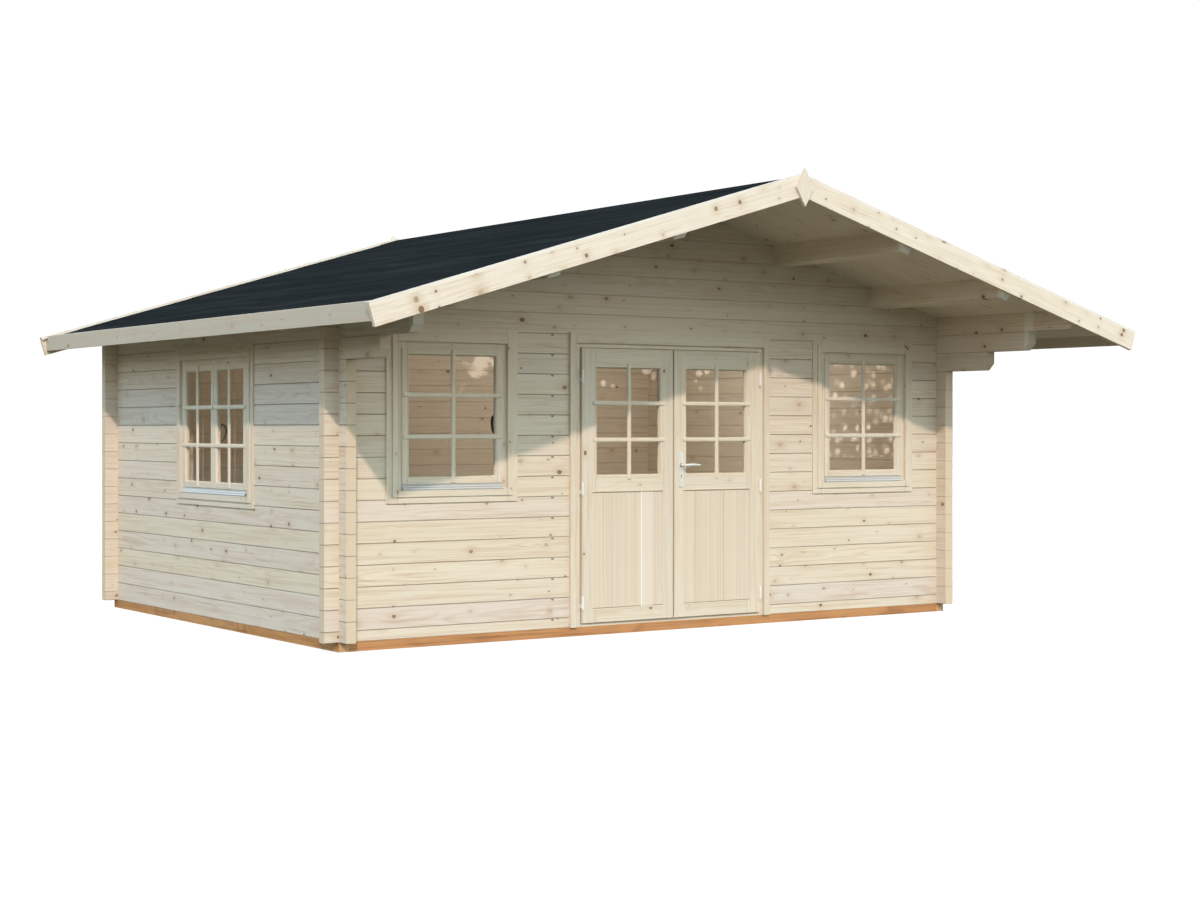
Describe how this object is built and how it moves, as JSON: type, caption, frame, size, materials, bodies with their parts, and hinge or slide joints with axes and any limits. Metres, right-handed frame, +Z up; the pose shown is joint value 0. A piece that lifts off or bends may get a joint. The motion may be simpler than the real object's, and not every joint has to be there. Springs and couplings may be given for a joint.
{
  "type": "log cabin",
  "caption": "Garden log cabin: notched log walls, gabled felt roof with a deep front canopy, hinged double door, and windows in the front and left walls.",
  "frame": {"origin": "on the ground, below the middle of the roof's outline; the ridge lies over X = 0", "axes": "+X along the front wall to the right as seen from the front, +Y from the front to the back, +Z up"},
  "size_m": [6.1602, 5.48, 3.0326],
  "materials": {
    "log_wood": "planed spruce, untreated",
    "joinery_wood": "fine planed spruce",
    "trim_wood": "planed spruce",
    "barge_wood": "planed spruce with small knots",
    "roof_board": "tongue and groove spruce",
    "fascia_board": "planed spruce",
    "floor_board": "tongue and groove spruce",
    "treated_beam": "pressure treated, brown",
    "roofing_felt": "mineral bitumen felt, matt",
    "glass": "clear",
    "hinge_steel": "zinc plated",
    "handle_metal": "satin",
    "sill_metal": "folded sheet, pale"
  },
  "bodies": {
    "cabin": {"door_frame": "joinery_wood", "door_trim": "trim_wood", "drip_sills": "sill_metal", "eave_fascias": "fascia_board", "floor_boards": "floor_board", "foundation_cross_beams": "treated_beam", "foundation_side_beams": "treated_beam", "frame_hinge_knuckles": "hinge_steel", "front_gable": "log_wood", "front_left_barge_board": "barge_wood", "front_left_window_frame": "joinery_wood", "front_left_window_glass": "glass", "front_left_window_trim": "trim_wood", "front_right_barge_board": "barge_wood", "front_right_window_frame": "joinery_wood", "front_right_window_glass": "glass", "front_right_window_trim": "trim_wood", "front_wall_left": "log_wood", "front_wall_right": "log_wood", "left_canopy_logs": "log_wood", "left_eave_purlin": "log_wood", "left_purlins": "log_wood", "left_roof_boards": "roof_board", "left_roof_felt": "roofing_felt", "left_verge_caps": "barge_wood", "left_wall": "log_wood", "rear_left_barge_board": "barge_wood", "rear_right_barge_board": "barge_wood", "rear_wall": "log_wood", "ridge_finials": "barge_wood", "right_canopy_logs": "log_wood", "right_eave_purlin": "log_wood", "right_purlins": "log_wood", "right_roof_boards": "roof_board", "right_roof_felt": "roofing_felt", "right_verge_caps": "barge_wood", "right_wall": "log_wood", "side_window_frame": "joinery_wood", "side_window_glass": "glass", "side_window_trim": "trim_wood"},
    "left_door": {"left_door_leaf": "joinery_wood", "left_door_glass": "glass", "left_door_knuckles": "hinge_steel"},
    "right_door": {"right_door_leaf": "joinery_wood", "right_door_glass": "glass", "right_door_knuckles": "hinge_steel", "handle_plates": "handle_metal"},
    "door_handle": {"door_lever": "handle_metal"}
  },
  "joints": [
    {"name": "left_door_hinge", "type": "hinge", "parent": "cabin", "child": "left_door", "pos_m": [-0.7555, -1.334, 1.005], "axis": [0, 0, -1], "range_deg": [0, 160]},
    {"name": "right_door_hinge", "type": "hinge", "parent": "cabin", "child": "right_door", "pos_m": [0.7555, -1.334, 1.005], "axis": [0, 0, 1], "range_deg": [0, 160]},
    {"name": "lever_turn", "type": "hinge", "parent": "right_door", "child": "door_handle", "pos_m": [0.063, -1.325, 1.134], "axis": [0, 1, 0], "range_deg": [0, 40], "stiffness_Nm_per_rad": 1.2, "springref_deg": -14.32}
  ]
}
